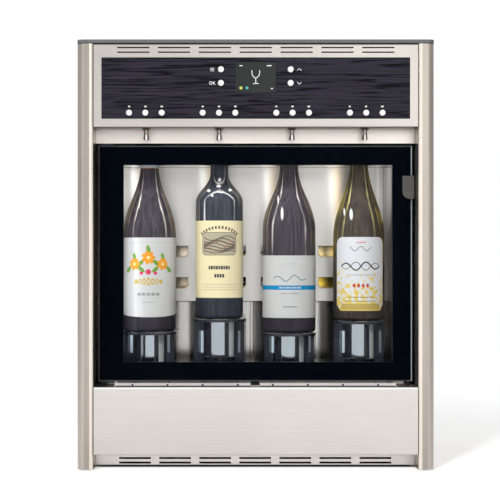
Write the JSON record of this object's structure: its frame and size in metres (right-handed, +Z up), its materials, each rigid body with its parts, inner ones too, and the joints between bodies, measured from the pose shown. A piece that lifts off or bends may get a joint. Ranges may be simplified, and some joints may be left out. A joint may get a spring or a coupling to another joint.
{
  "type": "wine preservation dispenser",
  "caption": "Counter-top wine dispenser: glass-fronted chilled tank with bottles on lifts, taps under a control head, gas inlet behind.",
  "frame": {"origin": "on the counter, under the middle of the cabinet (bottom of the feet)", "axes": "+Z up, +X to the right seen from the front, +Y towards the back; the front faces -Y"},
  "size_m": [0.532, 0.398, 0.6415],
  "materials": {
    "stainless": "fine vertical brush, satin",
    "cover_paint": "fine dark grey powder coat",
    "foot_rubber": "matte",
    "rear_steel": "grey powder coat",
    "screw_steel": "zinc plated",
    "tray_steel": "satin",
    "liner_steel": "bright satin",
    "foam": "cut foam",
    "ram_plastic": "satin black",
    "lift_gloss": "smoked gloss",
    "door_glass": "clear, with a black printed border",
    "black_frame": "satin black",
    "gasket_rubber": "soft matte",
    "handle_metal": "grey satin",
    "black_metal": "black powder coat",
    "panel_black": "black with a fine horizontal grain",
    "screen": "dark glossy screen",
    "board": "green solder mask",
    "button_cap": "satin white",
    "spout_steel": "polished",
    "valve_metal": "machined",
    "head_plastic": "black",
    "tube_plastic": "translucent",
    "brass_fitting": "satin",
    "sink_aluminium": "extruded",
    "fan_plastic": "black",
    "supply_steel": "folded steel",
    "inlet_plastic": "black",
    "switch_plastic": "black",
    "bottle_glass": "dark green glass"
  },
  "bodies": {
    "cabinet": {"base_pan": "stainless", "control_board": "board", "control_panel": "panel_black", "dispensing_heads": "head_plastic", "display_module": "screen", "door_brackets": "black_metal", "fan_frames": "fan_plastic", "fascia_frame": "stainless", "feet": "foot_rubber", "gas_manifold": "brass_fitting", "heat_exchanger": "sink_aluminium", "housing_screws": "screw_steel", "lift_guides": "ram_plastic", "lower_front_panel": "stainless", "power_inlet": "inlet_plastic", "power_supply": "supply_steel", "rear_cover": "rear_steel", "side_panel_left": "stainless", "side_panel_right": "stainless", "solenoid_valves": "valve_metal", "spout_panel": "stainless", "spouts": "spout_steel", "tank_back_panels": "liner_steel", "tank_insulation": "foam", "tank_liner": "liner_steel", "top_cover": "cover_paint", "tubing": "tube_plastic"},
    "door": {"door_outer_glass": "door_glass", "door_spacer_frame": "black_frame", "door_inner_glass": "door_glass", "door_gasket": "gasket_rubber", "door_handle": "handle_metal"},
    "lift_1": {"lift_plunger_1": "lift_gloss", "bottle_1": "bottle_glass"},
    "lift_2": {"lift_plunger_2": "lift_gloss", "bottle_2": "bottle_glass"},
    "lift_3": {"lift_plunger_3": "lift_gloss", "bottle_3": "bottle_glass"},
    "lift_4": {"lift_plunger_4": "lift_gloss", "bottle_4": "bottle_glass"},
    "drip_tray": {"drip_tray": "tray_steel"},
    "dispense_button_1_large": {"dispense_button_1_large": "button_cap"},
    "dispense_button_1_medium": {"dispense_button_1_medium": "button_cap"},
    "dispense_button_1_small": {"dispense_button_1_small": "button_cap"},
    "dispense_button_2_large": {"dispense_button_2_large": "button_cap"},
    "dispense_button_2_medium": {"dispense_button_2_medium": "button_cap"},
    "dispense_button_2_small": {"dispense_button_2_small": "button_cap"},
    "dispense_button_3_large": {"dispense_button_3_large": "button_cap"},
    "dispense_button_3_medium": {"dispense_button_3_medium": "button_cap"},
    "dispense_button_3_small": {"dispense_button_3_small": "button_cap"},
    "dispense_button_4_large": {"dispense_button_4_large": "button_cap"},
    "dispense_button_4_medium": {"dispense_button_4_medium": "button_cap"},
    "dispense_button_4_small": {"dispense_button_4_small": "button_cap"},
    "menu_button_down": {"menu_button_down": "button_cap"},
    "menu_button_list": {"menu_button_list": "button_cap"},
    "menu_button_ok": {"menu_button_ok": "button_cap"},
    "menu_button_up": {"menu_button_up": "button_cap"},
    "power_rocker": {"power_switch": "switch_plastic"},
    "tank_fan": {"tank_fan_rotor": "fan_plastic"},
    "rear_fan": {"rear_fan_rotor": "fan_plastic"}
  },
  "joints": [
    {"name": "door_hinge", "type": "hinge", "parent": "cabinet", "child": "door", "pos_m": [-0.232, -0.1475, 0.1297], "axis": [0, 0, -1], "range_deg": [0, 90]},
    {"name": "lift_1_slide", "type": "slide", "parent": "cabinet", "child": "lift_1", "axis": [0, 0, -1], "range_m": [0, 0.052]},
    {"name": "lift_2_slide", "type": "slide", "parent": "cabinet", "child": "lift_2", "axis": [0, 0, -1], "range_m": [0, 0.072]},
    {"name": "lift_3_slide", "type": "slide", "parent": "cabinet", "child": "lift_3", "axis": [0, 0, -1], "range_m": [0, 0.05]},
    {"name": "lift_4_slide", "type": "slide", "parent": "cabinet", "child": "lift_4", "axis": [0, 0, -1], "range_m": [0, 0.069]},
    {"name": "drip_tray_lift", "type": "slide", "parent": "cabinet", "child": "drip_tray", "axis": [0, 0, 1], "range_m": [0, 0.04]},
    {"name": "dispense_button_1_small_press", "type": "slide", "parent": "cabinet", "child": "dispense_button_1_small", "axis": [0, 1, 0], "range_m": [0, 0.0012], "stiffness_N_per_m": 300, "springref_m": -0.001},
    {"name": "dispense_button_1_medium_press", "type": "slide", "parent": "cabinet", "child": "dispense_button_1_medium", "axis": [0, 1, 0], "range_m": [0, 0.0012], "stiffness_N_per_m": 300, "springref_m": -0.001},
    {"name": "dispense_button_1_large_press", "type": "slide", "parent": "cabinet", "child": "dispense_button_1_large", "axis": [0, 1, 0], "range_m": [0, 0.0012], "stiffness_N_per_m": 300, "springref_m": -0.001},
    {"name": "dispense_button_2_small_press", "type": "slide", "parent": "cabinet", "child": "dispense_button_2_small", "axis": [0, 1, 0], "range_m": [0, 0.0012], "stiffness_N_per_m": 300, "springref_m": -0.001},
    {"name": "dispense_button_2_medium_press", "type": "slide", "parent": "cabinet", "child": "dispense_button_2_medium", "axis": [0, 1, 0], "range_m": [0, 0.0012], "stiffness_N_per_m": 300, "springref_m": -0.001},
    {"name": "dispense_button_2_large_press", "type": "slide", "parent": "cabinet", "child": "dispense_button_2_large", "axis": [0, 1, 0], "range_m": [0, 0.0012], "stiffness_N_per_m": 300, "springref_m": -0.001},
    {"name": "dispense_button_3_small_press", "type": "slide", "parent": "cabinet", "child": "dispense_button_3_small", "axis": [0, 1, 0], "range_m": [0, 0.0012], "stiffness_N_per_m": 300, "springref_m": -0.001},
    {"name": "dispense_button_3_medium_press", "type": "slide", "parent": "cabinet", "child": "dispense_button_3_medium", "axis": [0, 1, 0], "range_m": [0, 0.0012], "stiffness_N_per_m": 300, "springref_m": -0.001},
    {"name": "dispense_button_3_large_press", "type": "slide", "parent": "cabinet", "child": "dispense_button_3_large", "axis": [0, 1, 0], "range_m": [0, 0.0012], "stiffness_N_per_m": 300, "springref_m": -0.001},
    {"name": "dispense_button_4_small_press", "type": "slide", "parent": "cabinet", "child": "dispense_button_4_small", "axis": [0, 1, 0], "range_m": [0, 0.0012], "stiffness_N_per_m": 300, "springref_m": -0.001},
    {"name": "dispense_button_4_medium_press", "type": "slide", "parent": "cabinet", "child": "dispense_button_4_medium", "axis": [0, 1, 0], "range_m": [0, 0.0012], "stiffness_N_per_m": 300, "springref_m": -0.001},
    {"name": "dispense_button_4_large_press", "type": "slide", "parent": "cabinet", "child": "dispense_button_4_large", "axis": [0, 1, 0], "range_m": [0, 0.0012], "stiffness_N_per_m": 300, "springref_m": -0.001},
    {"name": "menu_button_list_press", "type": "slide", "parent": "cabinet", "child": "menu_button_list", "axis": [0, 1, 0], "range_m": [0, 0.0012], "stiffness_N_per_m": 300, "springref_m": -0.001},
    {"name": "menu_button_ok_press", "type": "slide", "parent": "cabinet", "child": "menu_button_ok", "axis": [0, 1, 0], "range_m": [0, 0.0012], "stiffness_N_per_m": 300, "springref_m": -0.001},
    {"name": "menu_button_up_press", "type": "slide", "parent": "cabinet", "child": "menu_button_up", "axis": [0, 1, 0], "range_m": [0, 0.0012], "stiffness_N_per_m": 300, "springref_m": -0.001},
    {"name": "menu_button_down_press", "type": "slide", "parent": "cabinet", "child": "menu_button_down", "axis": [0, 1, 0], "range_m": [0, 0.0012], "stiffness_N_per_m": 300, "springref_m": -0.001},
    {"name": "power_rocker_tilt", "type": "hinge", "parent": "cabinet", "child": "power_rocker", "pos_m": [-0.19, 0.191, 0.1065], "axis": [-1, 0, 0], "range_deg": [0, 20]},
    {"name": "tank_fan_spin", "type": "hinge", "parent": "cabinet", "child": "tank_fan", "pos_m": [0, 0.022, 0.31], "axis": [0, 1, 0], "continuous": true},
    {"name": "rear_fan_spin", "type": "hinge", "parent": "cabinet", "child": "rear_fan", "pos_m": [0, 0.1452, 0.31], "axis": [0, 1, 0], "continuous": true}
  ]
}
